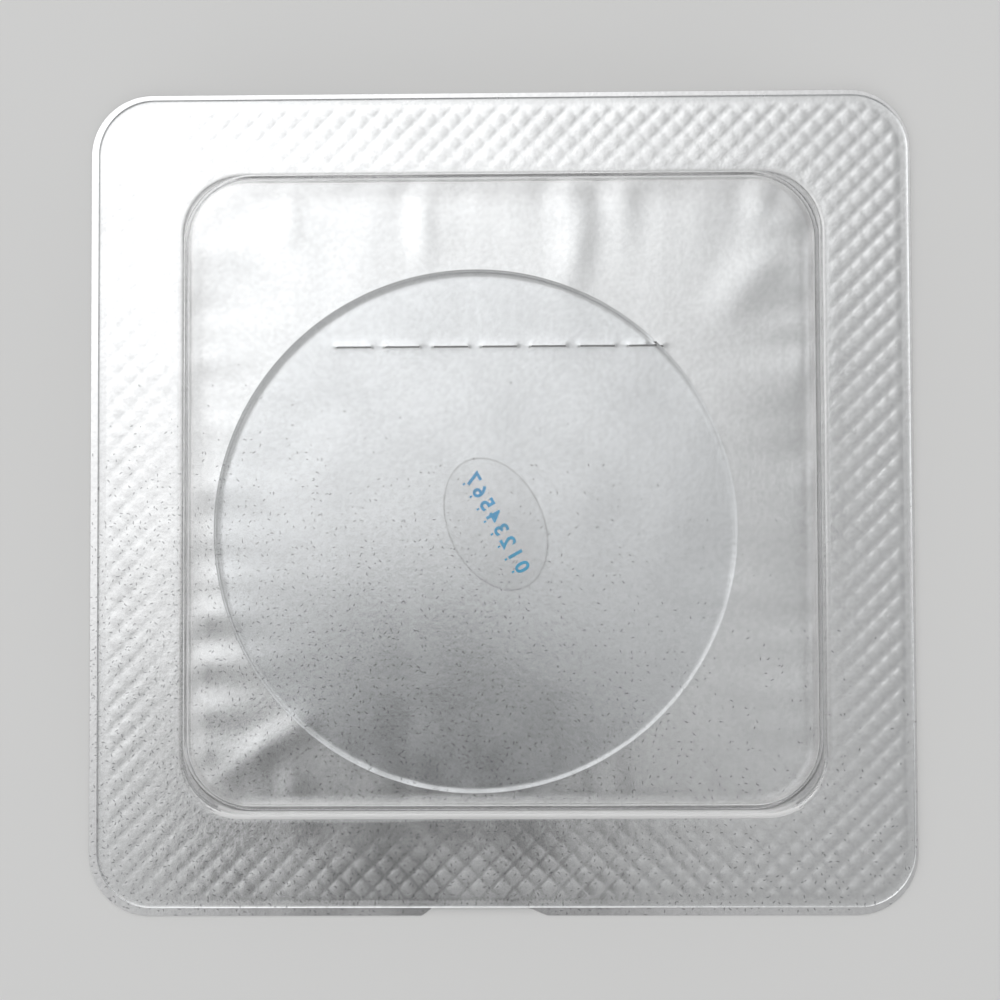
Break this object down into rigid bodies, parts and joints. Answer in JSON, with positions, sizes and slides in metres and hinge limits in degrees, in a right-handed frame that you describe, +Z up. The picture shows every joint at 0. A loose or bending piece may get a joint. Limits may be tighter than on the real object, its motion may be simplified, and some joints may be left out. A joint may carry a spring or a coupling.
{
  "type": "watch crystal in blister pack",
  "caption": "Flat round watch crystal with an oval sticker, loose in a square clear blister that is heat-sealed to a foil lid.",
  "frame": {"origin": "middle of the card's box, on the plane that the foil lid rests on", "axes": "+Z up through the pocket, square to the card; +X to the card's right; +Y to its top edge, where the peeled blister hangs on"},
  "size_m": [0.05, 0.05, 0.0037],
  "materials": {
    "lid_primer": "thin clear primer coat on the foil's outside",
    "lid_foil": "satin rolled foil, knurled where it is sealed and softly wavy under the pocket",
    "heat_seal_lacquer": "thin clear heat-seal lacquer",
    "clear_blister": "clear thermoformed sheet, glossy, knurled along the seal",
    "sapphire": "polished faces and edge with a fine bevel",
    "sticker_adhesive": "clear removable adhesive",
    "sticker_film": "clear glossy film",
    "blue_ink": "cyan blue printing ink"
  },
  "bodies": {
    "lid": {"lid_primer": "lid_primer", "lid_foil": "lid_foil", "heat_seal_lacquer": "heat_seal_lacquer"},
    "blister": {"blister_shell": "clear_blister"},
    "crystal": {"sapphire_crystal": "sapphire", "sticker_adhesive": "sticker_adhesive", "sticker_film": "sticker_film", "sticker_print": "blue_ink"}
  },
  "joints": [
    {"name": "blister_peel", "type": "hinge", "parent": "lid", "child": "blister", "pos_m": [0, 0.0247, 0.00038], "axis": [-1, 0, 0], "range_deg": [0, 150]},
    {"name": "crystal_shift", "type": "slide", "parent": "lid", "child": "crystal", "axis": [0.571, 0.8209, 0], "range_m": [-0.0009, 0.0066]}
  ]
}
